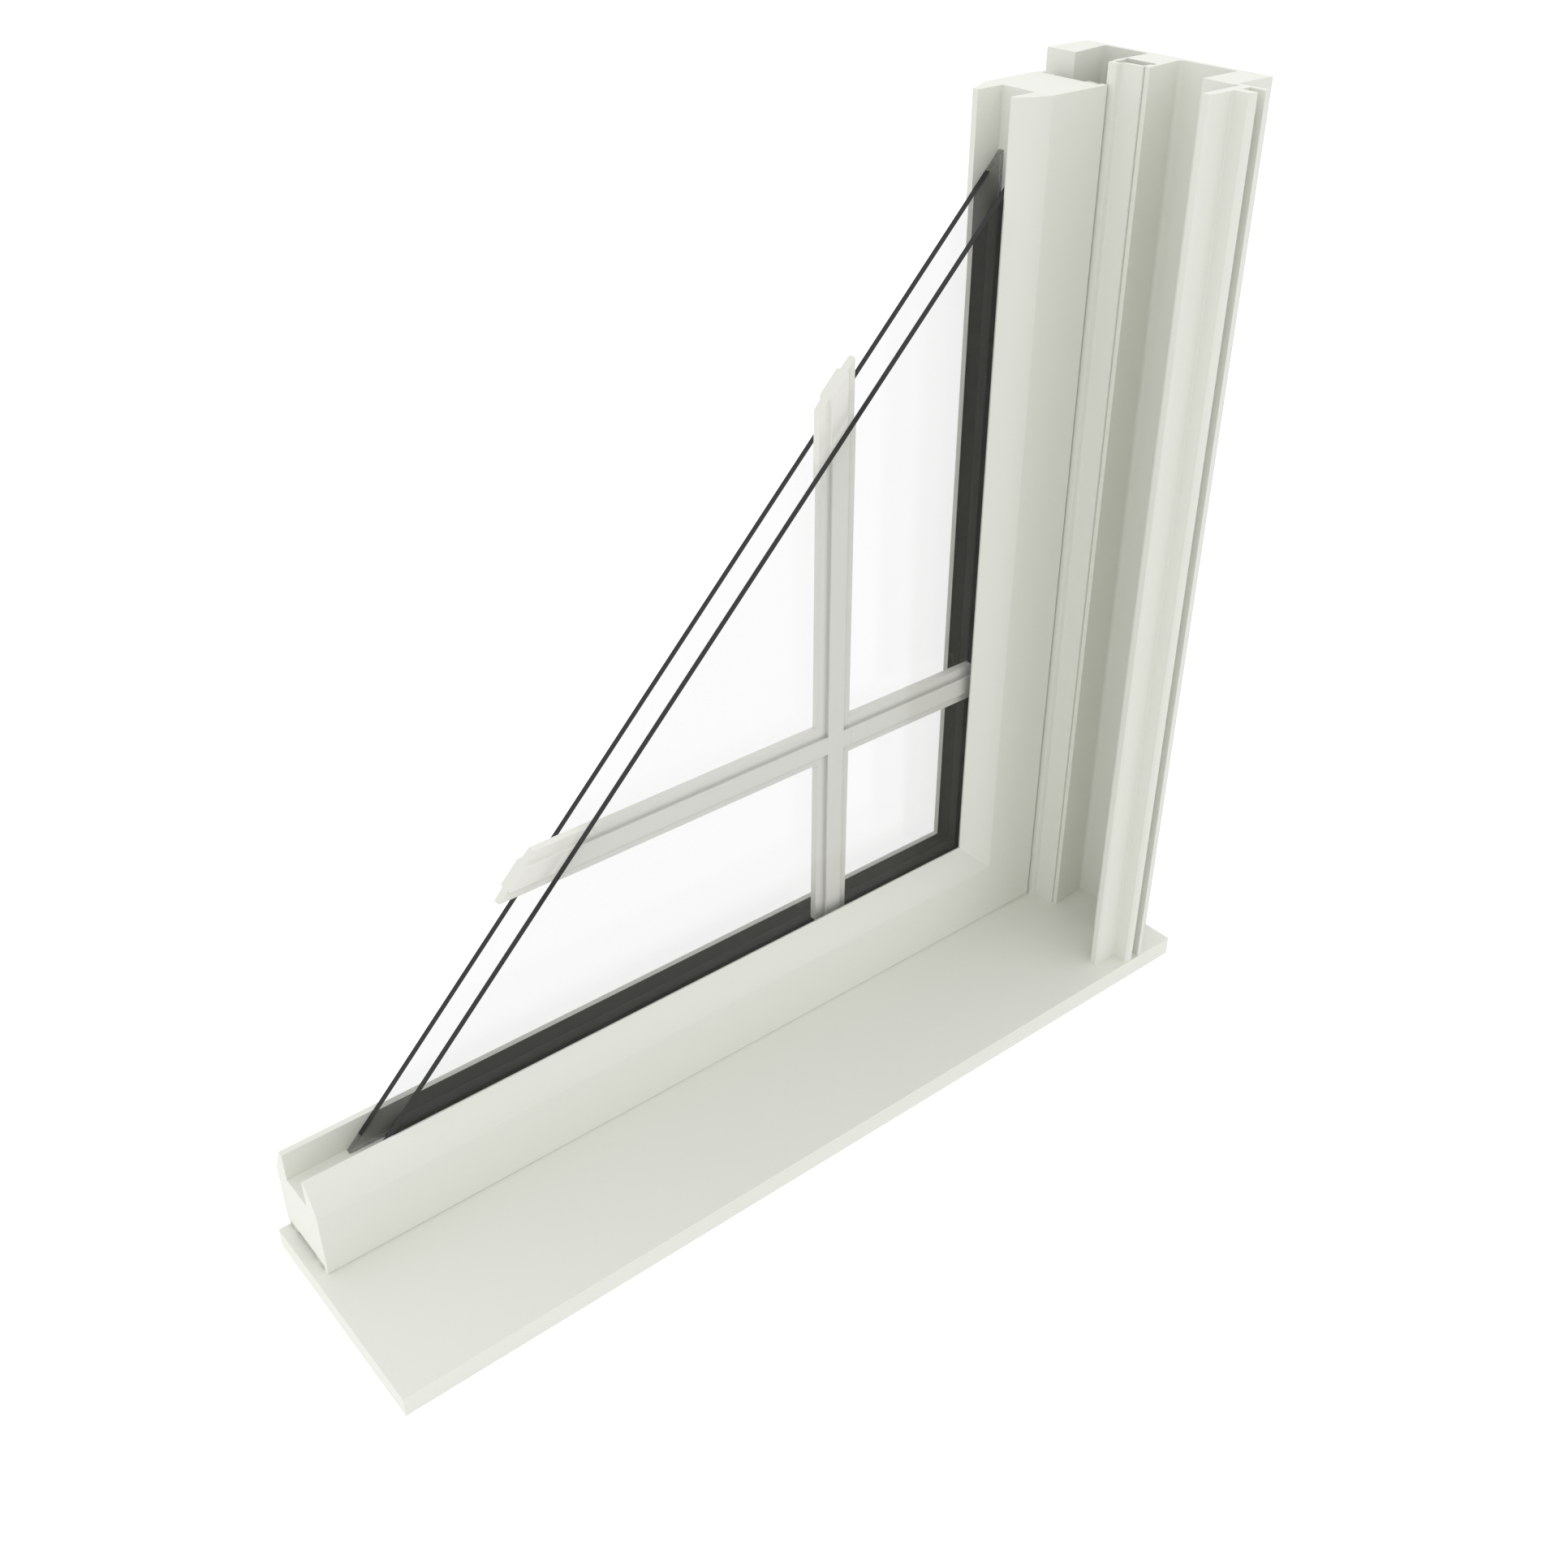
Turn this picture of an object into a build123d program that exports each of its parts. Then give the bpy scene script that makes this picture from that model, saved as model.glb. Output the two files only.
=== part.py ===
# Corner sample of a hung window: a sill and a side jamb with the bottom corner of one sash in them.
# The glass is cut away along a slanting line, so that both panes, the dark spacer in their edge and
# the ends of the two grille bars show.
#
# Frame: millimetres, +X to the right along the sill, +Y from the outdoor side to the indoor side,
# +Z up. The origin is the middle of the footprint, on the underside of the sill.

import os
from build123d import *

# Overall size
SAMPLE_LENGTH = 401.3        # sill, from its cut end to the outer face of the jamb
JAMB_HEIGHT = 377.7          # jamb and its inserts, above the top of the sill
SILL_THICKNESS = 9.0
SILL_FRONT_REVEAL = 0.5      # how far the sill stands out in front of the jamb
SILL_BACK_REVEAL = 3.4       # how far it stops short of the back of the jamb

# Side jamb, from the outdoor side to the indoor side
LEG_REACH = 13.2             # thin leg in front of the first rib
FRONT_RIB = 13.5
OUTER_CHANNEL = 24.0         # empty track of the upper sash
MID_RIB = 17.4
INNER_CHANNEL = 18.5         # balance channel behind the lower sash
BACK_RIB = 14.4

JAMB_WIDTH = 21.9            # outer face of the jamb to the faces of its ribs
JAMB_WALL = 2.6
LEG_SETBACK = 0.7            # the leg's left face, behind the rib faces
LEG_THICKNESS = 2.2
BACK_DRAFT = 2.6             # slope of the back rib's side over its reach
MID_DRAFT = 1.8              # slope of the middle rib's front side
MID_CORE = 15.4              # solid part of the middle rib, from the outer face of the jamb
FRONT_ARM = 2.2              # the two arms that reach past that core
BACK_ARM = 1.2

# Cover strip that closes the middle rib
COVER_PROUD = 3.7            # how far its nose stands out past the rib faces
COVER_NOSE = 4.2             # width of the nose
COVER_STEP = 2.3             # depth from the nose to the broad face
COVER_SLOPE = 2.2            # width of the slope between them
COVER_END_PROUD = 0.9        # front end of the broad face, past the rib faces
COVER_OVERHANG = 1.0         # how much of the back arm's end shows behind the nose
COVER_WALL = 1.6
COVER_LEG = 4.4              # how far its two legs go in between the arms
COVER_LEG_THICKNESS = 1.0
COVER_FIT = 0.15             # play between the strip and the arms

# Screen track clipped to the front leg
TRACK_REACH = 19.4           # rib face to the tip of the flange
TRACK_DEPTH = 11.0           # front edge of the jamb to the back of the flange
TRACK_FLANGE = 3.6
TRACK_WALL = 3.7             # wall in front of the slot
TRACK_SLOT_WIDTH = 4.3
TRACK_SLOT_DEPTH = 6.8
TRACK_COVE = 3.0             # radius of the hollow corner between the flange and the wall
TRACK_EDGE = 1.0             # bevel along the free edges of the flange and the wall

# Sash: one profile for the bottom rail and the stile, mitred at the corner
SASH_LEG = 370.1             # outer corner to each cut end
SASH_WIDTH = 42.6            # outer edge to the glass-side lips
SASH_DEPTH = 33.8
SASH_PARTING = 0.65          # gap between the stile and the nose of the cover strip
SASH_BACK_REVEAL = 1.9       # back of the sash to the back of the jamb
FACE_WIDTH = 29.1            # flat front face, up to where the bevel starts
FACE_LEAN = 0.2
EDGE_ROUND = 0.4             # radius of the outer front edge
BEVEL_DEPTH = 7.1
BEVEL_CROWN = 1.1            # how far the bevel bulges past a straight line
LIP_LAND = 1.25              # blunt edge of the front lip
LIP_DROP = 0.6               # its inner corner, below its crest
BACK_LIP_LAND = 2.45
BACK_LIP_DROP = 0.2
BACK_BEVEL_WIDTH = 12.6
BACK_BEVEL_FALL = 0.5        # where the back bevel starts, in front of the back face
GROOVE_FLOOR = 29.7          # outer edge to the floor of the glazing groove
HEEL_FRONT = 2.8             # the two solid heels at the outer edge
HEEL_BACK = 2.4
HEEL_SLOPE = 0.4             # how far the back heel's side slopes into the recess
HEEL_RISE = 2.6

# Weatherstrips in the recess between the heels
FIN_BASE = 6.0
FIN_BASE_THICKNESS = 1.3
FIN_EDGE = 0.8               # width of the tip
FIN_TIP_FRONT = 5.3          # front end of the base to the middle of the tip
FIN_TIP_BACK = 3.2
FIN_CLEARANCE = 0.2          # tip to the outer edge of the sash
FIN_GAP = 0.3                # base to the nearest heel

# Insulating glass
PANE = 2.6
AIR_SPACE = 10.7
BEDDING = 0.3                # dark compound between the indoor pane and the back lip
BEDDING_DROP = 0.5           # its edge, below the lip
GLASS_SETBACK = 24.2         # cut end of the rail to the sharp corner of the glass
GLASS_SETBACK_TOP = 22.4     # cut end of the stile to the other one
SEAL_HEIGHT = 2.4            # sealant bead under the spacer
SPACER_HEIGHT = 4.6
EDGE_SLANT = 1.42            # how far the spacer is cut back for each unit of depth

# Grille bars between the panes
BAR_WIDTH = 16.9
BAR_CENTRE = 8.2             # raised flat along the middle
BAR_THICKNESS = 7.0
BAR_EDGE = 3.4               # thickness at the side faces
BAR_STEP = 1.5
BAR_PROUD = 12.6             # cut ends stand this far past the cut of the glass
BAR_FROM_STILE = 115.5       # outer edge of the sash to the upright bar's centre line
BAR_FROM_RAIL = 126.7        # bottom of the sash to the level bar's centre line

# Places that follow from the sizes
JAMB_DEPTH = LEG_REACH + FRONT_RIB + OUTER_CHANNEL + MID_RIB + INNER_CHANNEL + BACK_RIB
FOOTPRINT_DEPTH = JAMB_DEPTH + SILL_FRONT_REVEAL
RIGHT = SAMPLE_LENGTH / 2
BACK = FOOTPRINT_DEPTH / 2
FRONT = BACK - JAMB_DEPTH
SILL_TOP = SILL_THICKNESS
RIB_FACE = RIGHT - JAMB_WIDTH
LEG_FACE = RIB_FACE + LEG_SETBACK
FRONT_RIB_Y = FRONT + LEG_REACH
MID_RIB_Y = FRONT_RIB_Y + FRONT_RIB + OUTER_CHANNEL
MID_RIB_BACK = MID_RIB_Y + MID_RIB
BACK_RIB_Y = BACK - BACK_RIB
COVER_FACE = RIB_FACE - COVER_PROUD
SASH_RIGHT = COVER_FACE - SASH_PARTING
SASH_BACK = BACK - SASH_BACK_REVEAL
SASH_FRONT = SASH_BACK - SASH_DEPTH
RECESS_FRONT = SASH_FRONT + FACE_LEAN + HEEL_FRONT
RECESS_BACK = SASH_BACK - HEEL_BACK - HEEL_SLOPE
GROOVE_FRONT = SASH_FRONT + BEVEL_DEPTH + LIP_LAND
SPACE_FRONT = GROOVE_FRONT + PANE
SPACE_BACK = SPACE_FRONT + AIR_SPACE
GLASS_BACK = SPACE_BACK + PANE
GROOVE_BACK = GLASS_BACK + BEDDING
GLASS_MIDDLE = (SPACE_FRONT + SPACE_BACK) / 2
GLASS_LENGTH = SASH_LEG - GROOVE_FLOOR - GLASS_SETBACK
GLASS_HEIGHT = SASH_LEG - GROOVE_FLOOR - GLASS_SETBACK_TOP
SPACER_TOP = GROOVE_FLOOR + SEAL_HEIGHT + SPACER_HEIGHT


def save(node, solid):
    """Write one piece as parts/NODE.step."""
    solid.label = node
    export_step(solid, f"parts/{node}.step")


def outline(*points):
    """A closed flat face through (x, y) points."""
    return make_face(Polyline(*points, close=True))


def upright(section):
    """Extrude a plan section from the top of the sill to the top of the jamb."""
    return Pos(0, 0, SILL_TOP) * extrude(section, JAMB_HEIGHT)


def along_sash(section):
    """Two lengths of one sash section, level and upright, that meet in a mitre.

    The section is drawn with x as the distance in from the outer edge of the sash, and y as the
    depth.
    """
    corner = (SASH_RIGHT, 0, SILL_TOP)
    level_end = Plane(corner, x_dir=(0, 0, 1), z_dir=(-1, 0, 0))
    upright_end = Plane(corner, x_dir=(-1, 0, 0), z_dir=(0, 0, -1))
    level = extrude(level_end * section, SASH_LEG)
    tall = extrude(upright_end * section, -SASH_LEG)
    return level & below_mitre(), tall & beside_mitre()


def wedge(*corners):
    """A prism through the whole depth of the sample, from (x, z) corners."""
    face = Plane.XZ * outline(*corners)
    return Pos(0, FOOTPRINT_DEPTH, 0) * extrude(face, 2 * FOOTPRINT_DEPTH)


def below_mitre():
    """Everything under the 45 degree line that rises to the left from the sash's outer corner."""
    x, z, far = SASH_RIGHT, SILL_TOP, 2 * SASH_LEG
    return wedge((x, z), (x - far, z + far), (x - far, z))


def beside_mitre():
    """Everything to the right of that line."""
    x, z, far = SASH_RIGHT, SILL_TOP, 2 * SASH_LEG
    return wedge((x, z), (x, z + far), (x - far, z + far))


def glass_tips():
    """The two sharp corners of the glass, as (x, z): on the rail's groove floor and on the stile's."""
    right = SASH_RIGHT - GROOVE_FLOOR
    bottom = SILL_TOP + GROOVE_FLOOR
    return Vector(right - GLASS_LENGTH, bottom), Vector(right, bottom + GLASS_HEIGHT)


def under_glass_cut(extra=0.0):
    """Everything under the line through the two tips, moved out by extra."""
    low, high = glass_tips()
    run = (high - low).normalized()
    out = Vector(-run.Y, run.X) * extra
    start = low + out - run * SASH_LEG
    end = high + out + run * SASH_LEG
    return wedge((start.X, start.Y), (end.X, end.Y), (end.X, start.Y))


def inside_edge_cut():
    """Everything under the slanting cut that trims the spacer, its sealant and the bedding.

    It meets the cut of the outdoor pane at that pane's inner face, and falls back from there.
    """
    low, high = glass_tips()
    run = (high - low).normalized()
    facing = (-run.Y, EDGE_SLANT * run.X, run.X)
    cut = Plane(origin=(low.X, SPACE_FRONT, low.Y), x_dir=(run.X, 0, run.Y), z_dir=facing)
    far = 4 * SASH_LEG
    return cut * Box(far, far, far, align=(Align.CENTER, Align.CENTER, Align.MAX))


def sill():
    """Flat sill plate."""
    depth = FOOTPRINT_DEPTH - SILL_BACK_REVEAL
    plate = Box(SAMPLE_LENGTH, depth, SILL_THICKNESS, align=(Align.CENTER, Align.MIN, Align.MIN))
    return Pos(0, FRONT - SILL_FRONT_REVEAL, 0) * plate


def jamb():
    """Side jamb: an outer wall, three ribs and a thin front leg, all one extrusion."""
    wall = RIGHT - JAMB_WALL
    core = RIGHT - MID_CORE
    front_rib_back = FRONT_RIB_Y + FRONT_RIB
    return upright(outline(
        (RIGHT, BACK),
        (RIB_FACE, BACK),
        (RIB_FACE, BACK_RIB_Y),
        (wall, BACK_RIB_Y + BACK_DRAFT),
        (wall, MID_RIB_BACK),
        (RIB_FACE, MID_RIB_BACK),
        (RIB_FACE, MID_RIB_BACK - BACK_ARM),
        (core, MID_RIB_BACK - BACK_ARM),
        (core, MID_RIB_Y + FRONT_ARM),
        (RIB_FACE, MID_RIB_Y + FRONT_ARM),
        (RIB_FACE, MID_RIB_Y),
        (wall, MID_RIB_Y + MID_DRAFT),
        (wall, front_rib_back),
        (RIB_FACE, front_rib_back),
        (RIB_FACE, FRONT_RIB_Y),
        (LEG_FACE, FRONT_RIB_Y - LEG_SETBACK),
        (LEG_FACE, FRONT),
        (LEG_FACE + LEG_THICKNESS, FRONT),
        (LEG_FACE + LEG_THICKNESS, FRONT_RIB_Y),
        (RIGHT, FRONT_RIB_Y),
    ))


def cover_strip():
    """Channel-shaped strip, snapped between the arms of the middle rib to close it."""
    broad = COVER_FACE + COVER_STEP
    nose_back = MID_RIB_BACK - COVER_OVERHANG
    nose_front = nose_back - COVER_NOSE
    arm_front = MID_RIB_Y + FRONT_ARM + COVER_FIT
    arm_back = MID_RIB_BACK - BACK_ARM - COVER_FIT
    leg_end = RIB_FACE + COVER_LEG
    return upright(outline(
        (COVER_FACE, nose_back),
        (COVER_FACE, nose_front),
        (broad, nose_front - COVER_SLOPE),
        (RIB_FACE - COVER_END_PROUD, arm_front),
        (leg_end, arm_front),
        (leg_end, arm_front + COVER_LEG_THICKNESS),
        (RIB_FACE - COVER_END_PROUD + COVER_WALL, arm_front + COVER_LEG_THICKNESS),
        (broad + COVER_WALL, nose_front - COVER_SLOPE + COVER_LEG_THICKNESS),
        (COVER_FACE + COVER_WALL, nose_front + COVER_LEG_THICKNESS),
        (COVER_FACE + COVER_WALL, arm_back - COVER_LEG_THICKNESS),
        (leg_end, arm_back - COVER_LEG_THICKNESS),
        (leg_end, arm_back),
        (RIB_FACE - COVER_FIT, arm_back),
        (RIB_FACE - COVER_FIT, nose_back),
    ))


def screen_track():
    """Track for an insect screen: a slot that opens to the front, a wall and a flange with a cove."""
    slot_left = LEG_FACE - TRACK_SLOT_WIDTH
    wall_left = slot_left - TRACK_WALL
    slot_end = FRONT + TRACK_SLOT_DEPTH
    back = FRONT + TRACK_DEPTH
    flange_front = back - TRACK_FLANGE
    tip = RIB_FACE - TRACK_REACH
    cove_start = (tip + TRACK_EDGE, flange_front)
    cove_end = (wall_left, flange_front - TRACK_COVE)
    corner = (wall_left - TRACK_COVE, flange_front)
    free_edges = Polyline(
        cove_end,
        (wall_left, FRONT + TRACK_EDGE),
        (wall_left + TRACK_EDGE, FRONT),
        (slot_left, FRONT),
        (slot_left, slot_end),
        (LEG_FACE, slot_end),
        (LEG_FACE, back),
        (tip, back),
        (tip, flange_front + TRACK_EDGE),
        cove_start,
        corner,
    )
    return upright(make_face(free_edges + RadiusArc(corner, cove_end, TRACK_COVE)))


def sash_pieces():
    """Bottom rail and stile."""
    face_edge = SASH_FRONT + FACE_LEAN
    bevel_start = Vector(FACE_WIDTH, SASH_FRONT)
    bevel_end = Vector(SASH_WIDTH, SASH_FRONT + BEVEL_DEPTH)
    chord = bevel_end - bevel_start
    outward = Vector(chord.Y, -chord.X).normalized()
    crown = (bevel_start + bevel_end) / 2 + outward * BEVEL_CROWN
    back_lip = SASH_WIDTH - BACK_LIP_DROP
    straight = Polyline(
        bevel_end,
        (SASH_WIDTH - LIP_DROP, GROOVE_FRONT),
        (GROOVE_FLOOR, GROOVE_FRONT),
        (GROOVE_FLOOR, GROOVE_BACK),
        (back_lip, GROOVE_BACK),
        (SASH_WIDTH, GROOVE_BACK + BACK_LIP_LAND),
        (SASH_WIDTH - BACK_BEVEL_WIDTH, SASH_BACK - BACK_BEVEL_FALL),
        (HEEL_BACK, SASH_BACK),
        (0, SASH_BACK - HEEL_BACK),
        (HEEL_RISE, RECESS_BACK),
        (HEEL_RISE, RECESS_FRONT),
        (0, RECESS_FRONT),
        (0, face_edge + EDGE_ROUND),
    )
    rounded = RadiusArc((0, face_edge + EDGE_ROUND), (EDGE_ROUND, face_edge), EDGE_ROUND)
    face = Line((EDGE_ROUND, face_edge), bevel_start)
    bevel = ThreePointArc(bevel_start, crown, bevel_end)
    return along_sash(make_face(straight + rounded + face + bevel))


def weatherstrips():
    """Two thin fins in the outer recess of each sash member."""
    fins = {
        "front": (RECESS_FRONT + FIN_GAP, FIN_TIP_FRONT),
        "back": (RECESS_BACK - FIN_GAP - FIN_BASE, FIN_TIP_BACK),
    }
    foot = HEEL_RISE - FIN_BASE_THICKNESS
    pieces = {}
    for side, (root, reach) in fins.items():
        tip = root + reach
        section = outline(
            (HEEL_RISE, root),
            (HEEL_RISE, root + FIN_BASE),
            (foot, root + FIN_BASE),
            (FIN_CLEARANCE, tip + FIN_EDGE / 2),
            (FIN_CLEARANCE, tip - FIN_EDGE / 2),
            (foot, root),
        )
        rail, stile = along_sash(section)
        pieces[f"weatherstrip_rail_{side}"] = rail
        pieces[f"weatherstrip_stile_{side}"] = stile
    return pieces


def pane(front):
    """One sheet of glass, a triangle that stands in the groove of the rail and the stile."""
    low, high = glass_tips()
    face = outline((high.X, low.Y), (high.X, high.Y), (low.X, low.Y))
    return Pos(0, front + PANE, 0) * extrude(Plane.XZ * face, PANE)


def edge_pieces():
    """Sealant bead and spacer between the panes, and the bedding behind the indoor pane."""
    seal_top = GROOVE_FLOOR + SEAL_HEIGHT
    bedding_top = SASH_WIDTH - BACK_LIP_DROP - BEDDING_DROP
    sections = {
        "edge_seal": (GROOVE_FLOOR, seal_top, SPACE_FRONT, SPACE_BACK),
        "spacer": (seal_top, SPACER_TOP, SPACE_FRONT, SPACE_BACK),
        "bedding": (GROOVE_FLOOR, bedding_top, GLASS_BACK, GROOVE_BACK),
    }
    pieces = {}
    for name, (low, high, front, back) in sections.items():
        section = outline((low, front), (high, front), (high, back), (low, back))
        bottom, side = along_sash(section)
        pieces[f"{name}_bottom"] = bottom & inside_edge_cut()
        pieces[f"{name}_side"] = side & inside_edge_cut()
    return pieces


def bar_section():
    """A flat bar with a raised middle: offsets across its width and through its thickness."""
    edge, centre = BAR_WIDTH / 2, BAR_CENTRE / 2
    side, top = BAR_EDGE / 2, BAR_THICKNESS / 2
    quarter = [(edge, side), (centre, top - BAR_STEP), (centre, top)]
    far = [(-x, y) for x, y in reversed(quarter)]
    near = [(-x, -y) for x, y in quarter]
    last = [(x, -y) for x, y in reversed(quarter)]
    return outline(*quarter, *far, *near, *last)


def grille_bars():
    """Upright and level bar, halved into each other where they cross."""
    centre_x = SASH_RIGHT - BAR_FROM_STILE
    centre_z = SILL_TOP + BAR_FROM_RAIL
    foot = Plane((centre_x, GLASS_MIDDLE, SILL_TOP + SPACER_TOP))
    end = Plane((SASH_RIGHT - SPACER_TOP, GLASS_MIDDLE, centre_z), x_dir=(0, 0, 1), z_dir=(-1, 0, 0))
    cut = under_glass_cut(BAR_PROUD)
    tall = extrude(foot * bar_section(), SASH_LEG) & cut
    level = extrude(end * bar_section(), SASH_LEG) & cut
    block = Pos(centre_x, GLASS_MIDDLE, centre_z) * Box(BAR_WIDTH, BAR_THICKNESS, BAR_WIDTH)
    front = Pos(0, -BAR_THICKNESS / 2, 0) * block
    crossing = (tall + level) & block
    upright_bar = tall - block + (crossing & front)
    level_bar = level - block + (crossing - front)
    return upright_bar, level_bar


def main():
    os.makedirs("parts", exist_ok=True)
    rail, stile = sash_pieces()
    upright_bar, level_bar = grille_bars()
    pieces = {
        "sill": sill(),
        "jamb": jamb(),
        "cover_strip": cover_strip(),
        "screen_track": screen_track(),
        "sash_rail": rail,
        "sash_stile": stile,
        "glass_outdoor": pane(GROOVE_FRONT),
        "glass_indoor": pane(SPACE_BACK),
        "grille_bar_upright": upright_bar,
        "grille_bar_level": level_bar,
    }
    pieces.update(edge_pieces())
    pieces.update(weatherstrips())
    for node, solid in pieces.items():
        save(node, solid)


main()
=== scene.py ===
# %% [markdown]
# # A corner sample of a hung window
#
# A window maker's sample shows how the pieces of a window go together: a sill, a side jamb, and the
# bottom corner of one sash. The double glazing is cut off along a 45 degree line, so that both
# panes, the dark spacer between them and the ends of the two grille bars can be seen. The CAD model
# already holds every piece at its real size. This lesson gives each one its surface: soft edges
# where a die formed the plastic, crisp pale faces where a saw cut it, glass that bends light, and
# an even white studio around it all.

# %% Load the CAD frame
import math

import bmesh
import bpy
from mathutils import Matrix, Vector


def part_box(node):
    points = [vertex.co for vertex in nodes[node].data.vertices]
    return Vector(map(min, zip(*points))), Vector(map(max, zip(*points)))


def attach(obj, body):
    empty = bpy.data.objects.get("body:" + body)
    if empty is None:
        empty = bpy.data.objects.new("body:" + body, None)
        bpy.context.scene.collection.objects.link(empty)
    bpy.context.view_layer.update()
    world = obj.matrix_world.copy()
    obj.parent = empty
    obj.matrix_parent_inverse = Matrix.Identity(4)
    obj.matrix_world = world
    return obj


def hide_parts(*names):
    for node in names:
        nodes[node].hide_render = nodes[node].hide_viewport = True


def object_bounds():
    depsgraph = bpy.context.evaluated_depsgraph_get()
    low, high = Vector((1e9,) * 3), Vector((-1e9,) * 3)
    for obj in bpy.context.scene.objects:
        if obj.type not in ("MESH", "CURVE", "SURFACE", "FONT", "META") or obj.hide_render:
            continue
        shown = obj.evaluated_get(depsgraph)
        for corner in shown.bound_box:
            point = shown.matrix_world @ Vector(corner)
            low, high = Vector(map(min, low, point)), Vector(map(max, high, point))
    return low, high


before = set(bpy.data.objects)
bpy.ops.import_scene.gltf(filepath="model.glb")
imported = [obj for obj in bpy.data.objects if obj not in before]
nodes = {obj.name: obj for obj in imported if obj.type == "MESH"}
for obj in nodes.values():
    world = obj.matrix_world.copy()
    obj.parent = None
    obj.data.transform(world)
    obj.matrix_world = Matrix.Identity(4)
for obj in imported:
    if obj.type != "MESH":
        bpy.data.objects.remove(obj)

cad_low, cad_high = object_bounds()
MM = 0.001
print("CAD box in mm:", [round(side / MM, 1) for side in cad_high - cad_low])

# %% [markdown]
# ## The camera
#
# A picture of a long straight object says where its camera stood: the edges that are parallel on
# the window meet at three vanishing points, and those give the lens and the two turns. The distance
# then follows from the size of the sash. The camera looks down at the sample from the front left,
# from a little more than half a metre away.

# %% Place the camera
CAMERA_PLACE = (-330.65 * MM, -419.45 * MM, 509.0 * MM)
CAMERA_TILT = math.radians(56.359)
CAMERA_TURN = math.radians(-39.056)
LENS = 38.88
SENSOR = 36.0

scene = bpy.context.scene
camera = bpy.data.objects.new("camera", bpy.data.cameras.new("camera"))
camera.data.lens = LENS
camera.data.sensor_width = SENSOR
camera.data.clip_start = 10 * MM
camera.location = CAMERA_PLACE
camera.rotation_euler = (CAMERA_TILT, 0.0, CAMERA_TURN)
scene.collection.objects.link(camera)
scene.camera = camera
print("camera stands", round(Vector(CAMERA_PLACE).length / MM), "mm from the origin")

# %% [markdown]
# ## Colours and nodes
#
# A colour picker shows sRGB values, but a shader works with linear light. One function turns a hex
# colour into linear numbers. A second function adds any shader node: it sets the node's properties,
# and fills each socket with a number or a link. With these two, a material reads like a recipe.

# %% Two helpers for materials
def linear(hex_colour):
    """The linear RGBA of an sRGB colour such as E1E2DB."""
    channels = [int(hex_colour[i:i + 2], 16) / 255 for i in (0, 2, 4)]
    return tuple(c / 12.92 if c <= 0.04045 else ((c + 0.055) / 1.055) ** 2.4 for c in channels) + (1.0,)


def add_node(tree, kind, settings, sockets):
    """Add a node, set its properties, and set or link its input sockets by name or number."""
    node = tree.nodes.new("ShaderNode" + kind)
    for name, value in settings.items():
        setattr(node, name, value)
    for key, value in sockets.items():
        if isinstance(value, bpy.types.NodeSocket):
            tree.links.new(value, node.inputs[key])
        else:
            node.inputs[key].default_value = value
    return node


def new_material(name):
    """An empty node material and its tree, output node first."""
    material = bpy.data.materials.new(name)
    material.use_nodes = True
    material.node_tree.nodes.clear()
    output = add_node(material.node_tree, "OutputMaterial", {}, {})
    return material, material.node_tree, output


print("off-white in linear light:", [round(c, 3) for c in linear("E6E8DE")])

# %% [markdown]
# ## Rigid PVC as the die leaves it
#
# The frame and the sash are extruded from rigid PVC, an off-white plastic with a slight green cast.
# It comes out of a steel die, so its skin is satin, and tiny scratches in the die draw faint lines
# along the whole length. Noise that is stretched a thousand times along the length gives such
# lines. They are drawn 0.5 mm apart, coarser than real ones, so that a render can show them. A
# second, slow noise makes the gloss drift a little, as it does on a real profile.

# %% Extruded PVC
PVC_SKIN = "E7E8E0"
PVC_IOR = 1.53
DIE_LINE = 0.5 * MM          # width of one die line
DIE_LINE_LENGTH = 500 * MM
DIE_LINE_DEPTH = 0.003 * MM
GLOSS_PATCH = 40 * MM        # size of one patch where the gloss drifts
SMOOTHEST, DULLEST = 0.42, 0.5    # roughness between which it drifts


def extruded_pvc(name, along):
    """Satin extruded PVC, with die lines along axis 0, 1 or 2: it looks smooth, drawn and matt."""
    material, tree, output = new_material(name)
    place = add_node(tree, "TexCoord", {}, {})
    stretch = [1 / DIE_LINE] * 3
    stretch[along] = 1 / DIE_LINE_LENGTH
    lined = add_node(tree, "Mapping", {}, {"Vector": place.outputs["Object"], "Scale": stretch})
    lines = add_node(tree, "TexNoise", {}, {
        "Vector": lined.outputs["Vector"], "Scale": 1.0, "Detail": 2.0, "Roughness": 0.6})
    drift = add_node(tree, "TexNoise", {}, {
        "Vector": place.outputs["Object"], "Scale": 1 / GLOSS_PATCH, "Detail": 1.0})
    gloss = add_node(tree, "MapRange", {}, {
        "Value": drift.outputs["Fac"], "From Min": 0.3, "From Max": 0.7,
        "To Min": SMOOTHEST, "To Max": DULLEST})
    bump = add_node(tree, "Bump", {}, {
        "Height": lines.outputs["Fac"], "Strength": 0.6, "Distance": DIE_LINE_DEPTH})
    skin = add_node(tree, "BsdfPrincipled", {}, {
        "Base Color": linear(PVC_SKIN), "Roughness": gloss.outputs["Result"], "IOR": PVC_IOR,
        "Normal": bump.outputs["Normal"]})
    tree.links.new(skin.outputs["BSDF"], output.inputs["Surface"])
    return material


pvc_level = extruded_pvc("extruded_pvc_level", along=0)
pvc_upright = extruded_pvc("extruded_pvc_upright", along=2)
print("die lines repeat every", DIE_LINE / MM, "mm")

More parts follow.
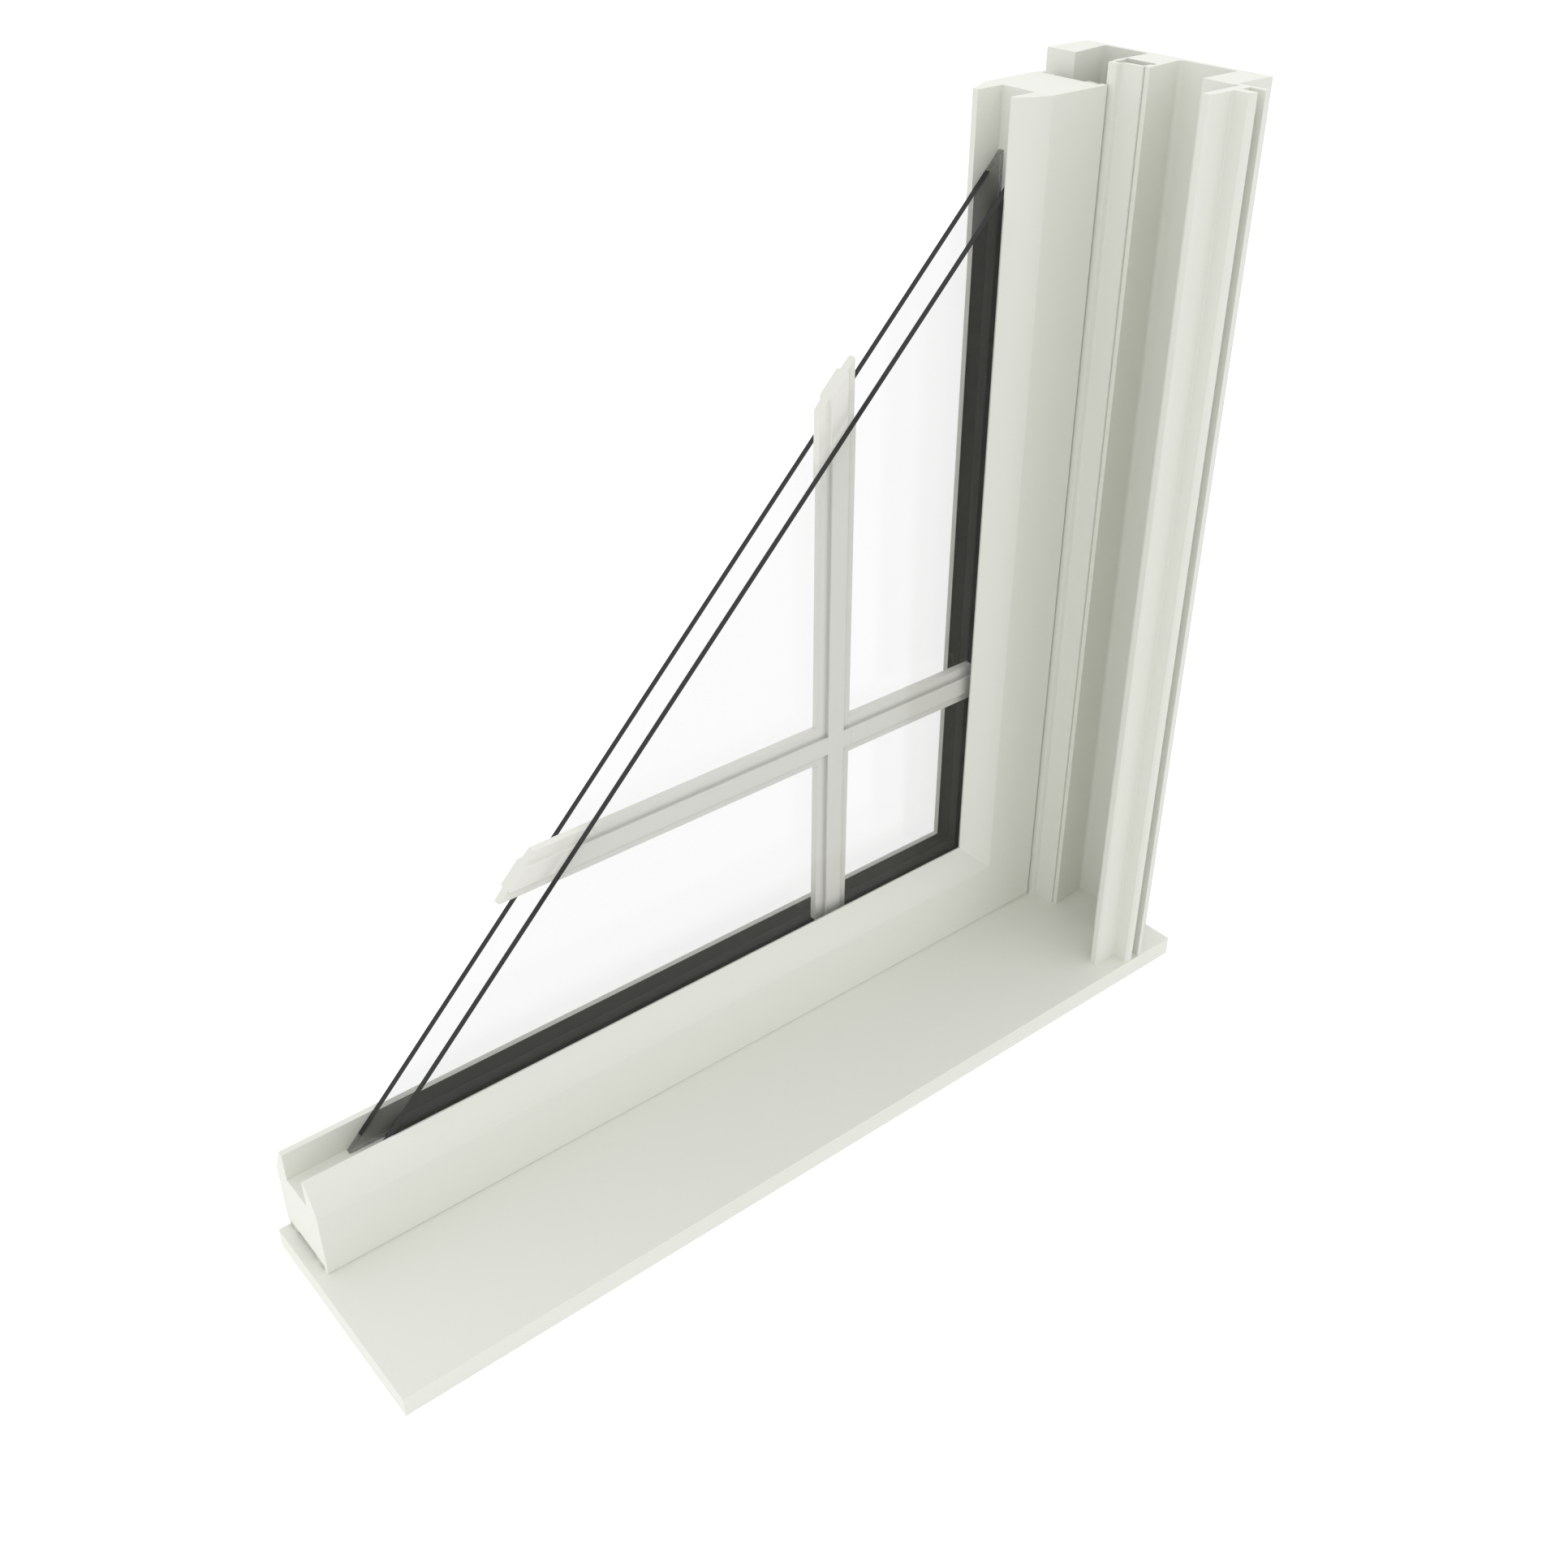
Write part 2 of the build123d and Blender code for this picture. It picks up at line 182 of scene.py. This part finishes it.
# %% [markdown]
# ## PVC as the saw leaves it
#
# A saw cut opens the plastic: the cut face is paler than the skin and quite matt. The blade is a
# big disc, so its teeth leave shallow arcs, not straight lines. A wave texture in rings draws
# them, with its centre set off to one side by the blade's radius, and a little distortion keeps
# the arcs from looking printed. Each side also gets its own painted light, as the light falls on
# it: the ends are painted the palest, the tops less, and the front edge of the sill the least.

# %% Sawn PVC
# painted light: one sawn colour per side, palest on the ends, less on the tops, least on the front
SAWN_COLOURS_LIT_BY_SIDE = {"top": "F2F3EB", "end": "F8F9F1", "front": "EEEFE7"}
BLADE_RADIUS = 125 * MM
TOOTH_MARK = 1.1 * MM        # from one arc to the next
TOOTH_DEPTH = 0.02 * MM
GRIT = 0.25 * MM             # grain of the torn plastic between the arcs
GRIT_SHARE = 0.35            # height of the grit against that of the arcs
SAWN_ROUGHNESS = 0.72
RING_SCALE = 2 * math.pi / 20    # a wave texture of scale 1 repeats every 2 pi / 20 units


def sawn_pvc(name, colour, through, centre):
    """Sawn plastic: paler and drier than the skin, with arcs around centre on faces across an axis."""
    material, tree, output = new_material(name)
    place = add_node(tree, "TexCoord", {}, {})
    moved = add_node(tree, "Mapping", {}, {
        "Vector": place.outputs["Object"], "Location": [-c for c in centre]})
    arcs = add_node(tree, "TexWave", {"wave_type": "RINGS", "rings_direction": through}, {
        "Vector": moved.outputs["Vector"], "Scale": RING_SCALE / TOOTH_MARK,
        "Distortion": 1.2, "Detail": 2.0, "Detail Scale": 0.3})
    grit = add_node(tree, "TexNoise", {}, {
        "Vector": place.outputs["Object"], "Scale": 1 / GRIT, "Detail": 3.0})
    height = add_node(tree, "Math", {"operation": "MULTIPLY_ADD"}, {
        0: grit.outputs["Fac"], 1: GRIT_SHARE, 2: arcs.outputs["Fac"]})
    bump = add_node(tree, "Bump", {}, {
        "Height": height.outputs["Value"], "Strength": 0.5, "Distance": TOOTH_DEPTH})
    cut = add_node(tree, "BsdfPrincipled", {}, {
        "Base Color": linear(colour), "Roughness": SAWN_ROUGHNESS, "IOR": PVC_IOR,
        "Normal": bump.outputs["Normal"]})
    tree.links.new(cut.outputs["BSDF"], output.inputs["Surface"])
    return material


top_centre = (cad_high.x + BLADE_RADIUS, 0.0, 0.0)
end_centre = (0.0, 0.0, -BLADE_RADIUS)
sawn_top = sawn_pvc("sawn_pvc_top", SAWN_COLOURS_LIT_BY_SIDE["top"], "Z", top_centre)
sawn_end = sawn_pvc("sawn_pvc_end", SAWN_COLOURS_LIT_BY_SIDE["end"], "X", end_centre)
sawn_front = sawn_pvc("sawn_pvc_front", SAWN_COLOURS_LIT_BY_SIDE["front"], "Y", end_centre)
print("saw arcs repeat every", TOOTH_MARK / MM, "mm")

# %% [markdown]
# ## Spacer, sealant, fins and bars
#
# The spacer is a dark structural foam: very matt, with fine closed pores. The sealant below it is
# black butyl, smoother and slightly lumpy from the nozzle. The fins are a soft PVC, a bit darker
# and drier than the rigid one. The grille bars are thin metal painted with an enamel, which
# flows out smooth but keeps a faint orange-peel.
#
# The bars have a step along each side, and less light finds its way into its corner. Behind the
# panes this soft shade is easily lost, because the glass below is kept simple for the light that
# falls through it. An ambient occlusion node finds the inside corners, and the light path's
# transmission depth says whether they are seen through glass: there the enamel gets its shade
# back, and on the free ends of the bars the real light does the work.

# %% One recipe for the small parts
CORNER_REACH = 2.5 * MM      # how far the shade of an inside corner reaches
CORNER_SHADE = 0.62          # and the share of the colour that is left in it
FREE_LIGHT = 0.9             # how light a corner at least stays where no glass is in front
CORNER_RAYS = 8


def shaded_corners(tree, colour):
    """A body colour with painted shade in inside corners, most of all where glass is in front."""
    corner = add_node(tree, "AmbientOcclusion", {"samples": CORNER_RAYS, "only_local": True}, {
        "Distance": CORNER_REACH})
    opened = add_node(tree, "MapRange", {}, {
        "Value": corner.outputs["AO"], "From Min": 0.5, "From Max": 1.0})
    path = add_node(tree, "LightPath", {}, {})
    free = add_node(tree, "MapRange", {}, {
        "Value": path.outputs["Transmission Depth"], "From Min": 0.0, "From Max": 1.0,
        "To Min": FREE_LIGHT, "To Max": 0.0})
    light = add_node(tree, "Math", {"operation": "MAXIMUM"}, {
        0: opened.outputs["Result"], 1: free.outputs["Result"]})
    shade = tuple(CORNER_SHADE * c for c in linear(colour)[:3]) + (1.0,)
    mixed = add_node(tree, "Mix", {"data_type": "RGBA"}, {
        0: light.outputs["Value"], 6: shade, 7: linear(colour)})    # 6 and 7 are the colours A and B
    return mixed.outputs[2]


def fine_surface(name, colour, roughness, ior, grain, depth, specular=0.5, corners=False):
    """A plain body colour, with painted shade in inside corners if corners is set, under an even,
    isotropic grain of a real size and depth.
    """
    material, tree, output = new_material(name)
    body_colour = shaded_corners(tree, colour) if corners else linear(colour)
    place = add_node(tree, "TexCoord", {}, {})
    bumps = add_node(tree, "TexNoise", {}, {
        "Vector": place.outputs["Object"], "Scale": 1 / grain, "Detail": 2.0, "Roughness": 0.55})
    patch = add_node(tree, "MapRange", {}, {
        "Value": bumps.outputs["Fac"], "From Min": 0.3, "From Max": 0.7,
        "To Min": roughness - 0.04, "To Max": min(1.0, roughness + 0.04)})
    bump = add_node(tree, "Bump", {}, {
        "Height": bumps.outputs["Fac"], "Strength": 0.6, "Distance": depth})
    body = add_node(tree, "BsdfPrincipled", {}, {
        "Base Color": body_colour, "Roughness": patch.outputs["Result"], "IOR": ior,
        "Specular IOR Level": specular, "Normal": bump.outputs["Normal"]})
    tree.links.new(body.outputs["BSDF"], output.inputs["Surface"])
    return material


foam = fine_surface("silicone_foam", "1E1F1D", 0.9, 1.4, 0.5 * MM, 0.012 * MM, specular=0.2)
butyl = fine_surface("butyl_sealant", "1A1A19", 0.6, 1.5, 2.5 * MM, 0.12 * MM, specular=0.3)
soft_pvc = fine_surface("flexible_pvc", "D4D5CC", 0.65, 1.52, 0.6 * MM, 0.01 * MM)
# painted shade: the enamel's colour is darkened in the inside corners of the bars, most behind glass
enamel = fine_surface("bar_enamel", "EDEDE6", 0.34, 1.5, 1.6 * MM, 0.004 * MM, corners=True)
enamel_cut = fine_surface("bar_cut_end", "E6E7DF", 0.6, 1.5, 0.3 * MM, 0.015 * MM)
# painted shade: near-black stands in for the dark look of a glass edge seen end on
ground_edge_painted_dark = fine_surface("ground_glass_edge_painted_dark", "333433", 0.5, 1.5, 0.2 * MM, 0.01 * MM, specular=0.2)
print("small finishes:", len((foam, butyl, soft_pvc, enamel, enamel_cut, ground_edge_painted_dark)))

# %% [markdown]
# ## Clear float glass
#
# Float glass is smooth on both faces and has almost no colour in a pane this thin. Its index of
# refraction is 1.5: each face mirrors a few percent of what is in front of it, and the pane shifts
# what is seen through it sideways. Both need a closed solid with its real thickness, so the pane is
# a full transmission shader on the CAD solid. The mirrored share is toned down, because the white
# studio that it shows would lift the black of the spacer to grey.
#
# A path tracer hardly ever finds its way through such a pane to the light behind it, and the bars
# between the panes would stay dark. So a shadow ray or a diffuse ray meets a plain transparent face
# instead, which lets in the share that a face of real glass does.
#
# Two more kinds of glass belong to the border of a pane. The margin looks like the clear glass but
# passes less light on to the spacer and the lips, which adds shade in the groove. The grey film on
# the back of the indoor pane, just above the lips, is painted shade that darkens the lips seen
# through it. Seen end on, a cut edge sends no light back: it looks nearly black, so the ground
# edge is painted with the near-black colour made above.

# %% Float glass
GLASS_IOR = 1.5
PLAIN_FACE = 0.908           # share of the light from all sides that one face lets in
MARGIN_FACE = 0.7            # the same in the margin
CLARITY = (0.9865, 0.9865, 0.9865, 1.0)    # what the body of the glass leaves of a view
SHADE_FILM = (0.62, 0.62, 0.61, 1.0)             # painted shade: what the grey film leaves of a view, darkening the lips behind it
GLEAM = (0.55, 0.55, 0.55, 1.0)            # the mirrored share, toned down


def float_glass(name, face_passes, clarity=CLARITY):
    """Smooth glass: it looks clear and faintly glossy, and shifts what lies behind it."""
    material, tree, output = new_material(name)
    path = add_node(tree, "LightPath", {}, {})
    lighting = add_node(tree, "Math", {"operation": "MAXIMUM"}, {
        0: path.outputs["Is Shadow Ray"], 1: path.outputs["Is Diffuse Ray"]})
    glass = add_node(tree, "BsdfPrincipled", {}, {
        "Base Color": clarity, "Roughness": 0.0, "IOR": GLASS_IOR, "Transmission Weight": 1.0,
        "Specular Tint": GLEAM})
    straight = add_node(tree, "BsdfTransparent", {}, {"Color": (face_passes,) * 3 + (1.0,)})
    both = add_node(tree, "MixShader", {}, {
        0: lighting.outputs["Value"], 1: glass.outputs["BSDF"], 2: straight.outputs["BSDF"]})
    tree.links.new(both.outputs["Shader"], output.inputs["Surface"])
    return material


clear_glass = float_glass("clear_float_glass", PLAIN_FACE)
# the margin glass looks clear but passes less light on, which adds shade in the groove behind it
margin_glass = float_glass("float_glass_margin", MARGIN_FACE)
# painted shade: the filmed glass tints the view, so the lips behind it look darker
shade_film_glass = float_glass("float_glass_shade_film", MARGIN_FACE, SHADE_FILM)
print("share of the light that a pane lets in:", round(PLAIN_FACE ** 2, 2))
print("and its margin:", round(MARGIN_FACE ** 2, 2))

# %% [markdown]
# ## From a CAD solid to a piece with soft edges
#
# A CAD solid arrives as loose triangles with knife-sharp corners. A real extrusion has small radii,
# and they catch a thin line of light. So each piece is a merged copy of its CAD solid: doubles are
# joined, flat triangles are dissolved into whole faces, and the long edges are selected by their
# direction and bevelled. The edges of a saw cut are left crisp, because a saw leaves them so.

# %% Copy, merge and soften
SHARP = math.radians(25)     # edges that turn less are facets of a curve
SMOOTH = math.radians(10)    # a facet of a curve turns less than this, a real break turns more
STRAIGHT = 0.999             # how well an edge or a normal has to line up with a direction
DOUBLE = 0.001 * MM          # points closer than this are one point
FLAT = math.radians(0.5)     # triangles that turn less are one face


def merged_copy(node, name):
    """A new active object with the CAD node's mesh, its triangles joined into flat faces."""
    bpy.ops.object.select_all(action="DESELECT")
    piece = bpy.data.objects.new(name, nodes[node].data.copy())
    scene.collection.objects.link(piece)
    bpy.context.view_layer.objects.active = piece
    piece.select_set(True)
    bpy.ops.mesh.customdata_custom_splitnormals_clear()
    bpy.ops.object.mode_set(mode="EDIT")
    bpy.ops.mesh.select_all(action="SELECT")
    bpy.ops.mesh.remove_doubles(threshold=DOUBLE)
    bpy.ops.mesh.dissolve_limited(angle_limit=FLAT)
    bpy.ops.object.mode_set(mode="OBJECT")
    return piece


def soften(piece, direction, radius, segments=2):
    """Bevel the sharp edges that run along a direction."""
    bpy.ops.object.mode_set(mode="EDIT")
    bpy.ops.mesh.select_all(action="DESELECT")
    shape = bmesh.from_edit_mesh(piece.data)
    chosen = 0
    for edge in shape.edges:
        run = (edge.verts[1].co - edge.verts[0].co).normalized()
        lined_up = abs(run.dot(direction)) > STRAIGHT
        if lined_up and edge.calc_face_angle(0.0) > SHARP:
            edge.select_set(True)
            chosen += 1
    bmesh.update_edit_mesh(piece.data)
    bpy.ops.mesh.bevel(offset=radius, segments=segments, affect="EDGES", clamp_overlap=True)
    bpy.ops.mesh.select_all(action="SELECT")
    bpy.ops.mesh.remove_doubles(threshold=DOUBLE)
    bpy.ops.object.mode_set(mode="OBJECT")
    return chosen


def finish_faces(piece, skin, cuts):
    """Give the whole piece its skin, and each face that looks along a cut's normal its cut finish."""
    piece.data.materials.clear()
    piece.data.materials.append(skin)
    for normal, limit, finish in cuts:
        piece.data.materials.append(finish)
        index = len(piece.data.materials) - 1
        for face in piece.data.polygons:
            if face.normal.dot(normal) > STRAIGHT and face.center.dot(normal) > limit:
                face.material_index = index


def complete(piece, node):
    """Shade a piece smooth over its small bevels, and let it stand for its CAD node."""
    bpy.ops.object.select_all(action="DESELECT")
    bpy.context.view_layer.objects.active = piece
    piece.select_set(True)
    bpy.ops.object.shade_smooth_by_angle(angle=SMOOTH)
    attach(piece, "root")
    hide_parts(node)
    print(piece.name, "has", len(piece.data.polygons), "faces")


X, Y, Z = Vector((1, 0, 0)), Vector((0, 1, 0)), Vector((0, 0, 1))
NEAR = 0.1 * MM

# %% [markdown]
# ## The sill
#
# The sill is a plate of the same plastic, 9 mm thick. Its top keeps the satin skin, and its front
# edge and both ends are saw cuts, which look paler; the ends carry the most painted light and look
# palest. A very small radius runs along the long edges.

# %% Sill
SILL_RADIUS = 0.15 * MM
sill_low, sill_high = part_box("sill")
sill = merged_copy("sill", "sill_plate")
soften(sill, X, SILL_RADIUS)
finish_faces(sill, pvc_level, [
    (-X, -sill_low.x - NEAR, sawn_end),
    (X, sill_high.x - NEAR, sawn_end),
    (-Y, -sill_low.y - NEAR, sawn_front),
])
complete(sill, "sill")

# %% [markdown]
# ## The jamb and its two inserts
#
# The jamb, the cover strip and the screen track are upright extrusions. All three end at the same
# saw cut at the top. Their corners have the small radius of a steel die.
#
# Three places are shaped a little differently from the CAD solids, because the shading then comes
# closer to the picture. Where the slanting side of a rib runs into the outer wall of the jamb, a
# broad fillet makes the shade in the channel soft. On the cover strip the nose ends in a shorter,
# steeper step, which draws one darker line along the strip. The cove of the screen track is drawn
# together towards its corner, which darkens it. These sizes were matched and not measured, so the
# CAD solids stay the reference for the real section. All three are found by the angles of their
# faces.

# %% Three changed shapes
FILLET = 2 * MM
FILLET_STEPS = 12
DRAFTED = math.radians(92)   # a corner of the jamb that turns more than this has a slanting side
STEP_RUN = 1.9 * MM          # how much shorter the slope of the cover strip gets
COVE_SHARE = 0.2             # share of its radius that the cove of the screen track keeps
SLOPE_NORMAL = Vector((-1, -1, 0)).normalized()
ALONG_SLOPE = 0.97           # how well the slope's normal has to line up with that
FACET = math.radians(1)      # the facets of the cove turn more than this


def fillet_drafted_corners(jamb):
    """Round the inside corners where the slanting side of a rib runs into the outer wall."""
    bpy.ops.object.mode_set(mode="EDIT")
    bpy.ops.mesh.select_all(action="DESELECT")
    shape = bmesh.from_edit_mesh(jamb.data)
    for edge in shape.edges:
        edge.select_set(edge.calc_face_angle_signed(0.0) < -DRAFTED)
    bmesh.update_edit_mesh(jamb.data)
    bpy.ops.mesh.bevel(offset=FILLET, segments=FILLET_STEPS, affect="EDGES", clamp_overlap=True)
    bpy.ops.object.mode_set(mode="OBJECT")


def steepen_step(strip):
    """Move the lower edge of the slope beside the nose towards the nose."""
    bpy.ops.object.mode_set(mode="EDIT")
    bpy.ops.mesh.select_all(action="DESELECT")
    shape = bmesh.from_edit_mesh(strip.data)
    for face in shape.faces:
        if face.normal.dot(SLOPE_NORMAL) > ALONG_SLOPE:
            low = max(vertex.co.x for vertex in face.verts)
            for vertex in face.verts:
                vertex.select_set(vertex.co.x > low - NEAR)
    shape.select_flush_mode()
    bmesh.update_edit_mesh(strip.data)
    bpy.ops.transform.translate(value=(0, STEP_RUN, 0))
    bpy.ops.object.mode_set(mode="OBJECT")


def tighten_cove(track):
    """Draw the cove of the screen track together towards its corner."""
    bpy.ops.object.mode_set(mode="EDIT")
    bpy.ops.mesh.select_all(action="DESELECT")
    shape = bmesh.from_edit_mesh(track.data)
    cove = [edge for edge in shape.edges if -SHARP < edge.calc_face_angle_signed(0.0) < -FACET]
    for edge in cove:
        edge.select_set(True)
    corner_x = max(vertex.co.x for edge in cove for vertex in edge.verts)
    corner_y = max(vertex.co.y for edge in cove for vertex in edge.verts)
    bmesh.update_edit_mesh(track.data)
    corner = (corner_x, corner_y, 0)
    bpy.ops.transform.resize(value=(COVE_SHARE, COVE_SHARE, 1), center_override=corner)
    bpy.ops.object.mode_set(mode="OBJECT")
    print(len(cove), "lines of the cove drawn together")


# %% Upright extrusions
DIE_RADIUS = 0.2 * MM
extrusions = (
    ("jamb", "frame_pvc", fillet_drafted_corners),
    ("cover_strip", "insert_pvc", steepen_step),
    ("screen_track", "insert_pvc", tighten_cove),
)
for node, slot_name, reshape in extrusions:
    piece = merged_copy(node, node + "_extrusion")
    reshape(piece)
    soften(piece, Z, DIE_RADIUS)
    finish_faces(piece, pvc_upright, [(Z, cad_high.z - NEAR, sawn_top)])
    complete(piece, node)

# %% [markdown]
# ## The sash
#
# The rail and the stile are one profile, cut at 45 degrees and welded. The weld is dressed flush, so
# no line shows on the faces, only the crease where the two bevels meet.

# %% Rail and stile
rail_low, rail_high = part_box("sash_rail")
stile_low, stile_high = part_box("sash_stile")
rail = merged_copy("sash_rail", "sash_rail_extrusion")
soften(rail, X, DIE_RADIUS)
finish_faces(rail, pvc_level, [(-X, -rail_low.x - NEAR, sawn_end)])
complete(rail, "sash_rail")

stile = merged_copy("sash_stile", "sash_stile_extrusion")
soften(stile, Z, DIE_RADIUS)
finish_faces(stile, pvc_upright, [(Z, stile_high.z - NEAR, sawn_top)])
complete(stile, "sash_stile")

# %% [markdown]
# ## The fins
#
# Two soft fins run in the outer recess of each member and seal it against the frame.

# %% Weatherstrips
for side in ("front", "back"):
    for member in ("rail", "stile"):
        node = f"weatherstrip_{member}_{side}"
        fin = merged_copy(node, node + "_fin")
        finish_faces(fin, soft_pvc, [])
        complete(fin, node)

# %% [markdown]
# ## The glass unit
#
# Both panes are triangles. The face along the cut looks up and to the left, so it is found by its
# normal. It is ground and painted near-black to a little behind the lips of the sash, and clear from
# there on. Bisect draws the straight lines where the margin, the film and the dark ground part end.
#
# In the CAD model the panes touch the groove and the spacer exactly. Two faces in one plane make a
# ray tracer guess which one comes first, and glass then shows black spots. So each pane is shrunk
# by a hair. Air between the glass and the black strips would give them a second, pale reflection,
# so the strips swell by two hairs and reach into the glass: they look bonded to it, as they are.

# %% Measures of the panes
CUT = (Z - X).normalized()
GLASS_HAIR = 0.03 * MM       # air between a pane and the plastic
INDOOR_MARGIN = 10 * MM      # width of the margin beyond the lips
OUTDOOR_MARGIN = 1 * MM
# the grey film that paints shade on the lips reaches this far above them
SHADE_FILM_WIDTH = 2.7 * MM
DARK_EDGE_DEPTH = 7.2 * MM      # how far behind the rail's lips the ground, dark-painted part ends
DARK_EDGE_REACH = 6.3 * MM      # and how far behind the stile's
ALONG_CUT = 0.989            # how well a face's normal lines up with the cut's
rail_lip = rail_high.z
stile_lip = stile_low.x
dark_edge_low = rail_lip - DARK_EDGE_DEPTH
dark_edge_right = stile_lip + DARK_EDGE_REACH
print("lips at z", round(rail_lip / MM, 1), "and x", round(stile_lip / MM, 1), "mm")


def swell(piece, distance):
    """Move every face out by a distance, or in if it is negative."""
    bpy.ops.object.mode_set(mode="EDIT")
    bpy.ops.mesh.select_all(action="SELECT")
    bpy.ops.transform.shrink_fatten(value=distance, use_even_offset=True)
    bpy.ops.object.mode_set(mode="OBJECT")


def divide(piece, place, normal):
    """Cut the faces of a piece along a plane, and keep both sides."""
    bpy.ops.object.mode_set(mode="EDIT")
    bpy.ops.mesh.select_all(action="SELECT")
    bpy.ops.mesh.bisect(plane_co=place, plane_no=normal)
    bpy.ops.object.mode_set(mode="OBJECT")


# %% Panes
def glass_pane(node, margin, film):
    """A clear pane with its margin along the lips, a grey film of painted shade on its back, and a
    ground cut edge painted near-black.
    """
    pane = merged_copy(node, node + "_pane")
    swell(pane, -GLASS_HAIR)
    for height in (dark_edge_low, rail_lip + film, rail_lip + margin):
        divide(pane, (0, 0, height), Z)
    for side in (dark_edge_right, stile_lip - film, stile_lip - margin):
        divide(pane, (side, 0, 0), X)
    pane.data.materials.clear()
    for finish in (clear_glass, margin_glass, ground_edge_painted_dark, shade_film_glass):
        pane.data.materials.append(finish)
    for face in pane.data.polygons:
        across, height = face.center.x, face.center.z
        on_cut = face.normal.dot(CUT) > ALONG_CUT
        by_lips = height < rail_lip + film or across > stile_lip - film
        # the cut face gets the near-black paint within the bounds of the dark edge
        if on_cut and height > dark_edge_low and across < dark_edge_right:
            face.material_index = 2
        # faces on the back of the indoor pane by the lips get the grey film of painted shade
        elif film and face.normal.y > STRAIGHT and by_lips:
            face.material_index = 3
        elif height < rail_lip + margin or across > stile_lip - margin:
            face.material_index = 1
    complete(pane, node)


glass_pane("glass_outdoor", OUTDOOR_MARGIN, 0.0)
glass_pane("glass_indoor", INDOOR_MARGIN, SHADE_FILM_WIDTH)

# %% Spacer, sealant and bedding
BEAD_SQUEEZE = 0.6 * MM      # the pane presses the bedding out this much, up to the edge of the lips
strips = (
    ("spacer", foam, "spacer_foam"),
    ("edge_seal", butyl, "edge_sealant"),
    ("bedding", butyl, "edge_sealant"),
)


def squeeze_out(strip, towards):
    """Push the free side of a strip on by the squeeze of the bead."""
    free = max(vertex.co.dot(towards) for vertex in strip.data.vertices)
    bpy.ops.object.mode_set(mode="EDIT")
    bpy.ops.mesh.select_all(action="DESELECT")
    shape = bmesh.from_edit_mesh(strip.data)
    for vertex in shape.verts:
        vertex.select_set(vertex.co.dot(towards) > free - NEAR)
    shape.select_flush_mode()
    bmesh.update_edit_mesh(strip.data)
    bpy.ops.transform.translate(value=towards * BEAD_SQUEEZE)
    bpy.ops.object.mode_set(mode="OBJECT")


for part, finish, slot_name in strips:
    for side, towards in (("bottom", Z), ("side", -X)):
        node = f"{part}_{side}"
        strip = merged_copy(node, node + "_strip")
        swell(strip, 2 * GLASS_HAIR)
        if part == "bedding":
            squeeze_out(strip, towards)
        finish_faces(strip, finish, [])
        complete(strip, node)

# %% [markdown]
# ## The grille bars
#
# The two bars hang between the panes and run out past the cut. Their ends are cut along the same 45
# degree direction, and show the bar's section: a raised flat in the middle, with a slope to a
# narrow side face.

# %% Grille bars
for node, direction in (("grille_bar_upright", Z), ("grille_bar_level", X)):
    bar = merged_copy(node, node + "_enamelled")
    soften(bar, direction, DIE_RADIUS)
    finish_faces(bar, enamel, [(CUT, -1.0, enamel_cut)])
    complete(bar, node)

# %% [markdown]
# ## The studio
#
# The sample was shown in an even white surround, with no lamp that casts a hard shadow. A plain
# white world does that, and every colour then renders about as it is written. The floor is a
# pale stage. It takes the sample's soft contact shadow, and a share of plain light that only the
# camera and rays through glass see lifts it to white.

# %% World and floor
world = bpy.data.worlds.new("white_surround")
scene.world = world
world.use_nodes = True
world.node_tree.nodes["Background"].inputs["Color"].default_value = (1.0, 1.0, 1.0, 1.0)
world.node_tree.nodes["Background"].inputs["Strength"].default_value = 1.0

FLOOR_SIZE = 6.0
FLOOR_WHITE = "F9F9F9"
CAMERA_SHARE = 0.55          # share of plain light that the camera sees on the floor
GLASS_SHARE = 0.92           # and that rays through or off the glass see
CAMERA_LIFT = 0.7            # how much stronger than 1 it is for the camera


def studio_floor():
    """Pale matt floor: it keeps a soft contact shadow, and is plain white away from it."""
    material, tree, output = new_material("studio_floor")
    path = add_node(tree, "LightPath", {}, {})
    camera_share = add_node(tree, "Math", {"operation": "MULTIPLY"}, {
        0: path.outputs["Is Camera Ray"], 1: CAMERA_SHARE})
    through = add_node(tree, "Math", {"operation": "MAXIMUM"}, {
        0: path.outputs["Is Transmission Ray"], 1: path.outputs["Is Glossy Ray"]})
    through_share = add_node(tree, "Math", {"operation": "MULTIPLY"}, {
        0: through.outputs["Value"], 1: GLASS_SHARE})
    share = add_node(tree, "Math", {"operation": "MAXIMUM"}, {
        0: camera_share.outputs["Value"], 1: through_share.outputs["Value"]})
    strength = add_node(tree, "Math", {"operation": "MULTIPLY_ADD"}, {
        0: path.outputs["Is Camera Ray"], 1: CAMERA_LIFT, 2: 1.0})
    light = add_node(tree, "Emission", {}, {
        "Color": (1, 1, 1, 1), "Strength": strength.outputs["Value"]})
    paint = add_node(tree, "BsdfDiffuse", {}, {"Color": linear(FLOOR_WHITE)})
    both = add_node(tree, "MixShader", {}, {
        0: share.outputs["Value"], 1: paint.outputs["BSDF"], 2: light.outputs["Emission"]})
    tree.links.new(both.outputs["Shader"], output.inputs["Surface"])
    return material


bpy.ops.object.select_all(action="DESELECT")
bpy.ops.mesh.primitive_plane_add(size=FLOOR_SIZE, location=(0, 0, 0))
floor = bpy.context.active_object
floor.name = "studio_floor"
floor.data.materials.append(studio_floor())
print("floor is", FLOOR_SIZE, "m wide")

# %% View transform
scene.view_settings.view_transform = "Standard"
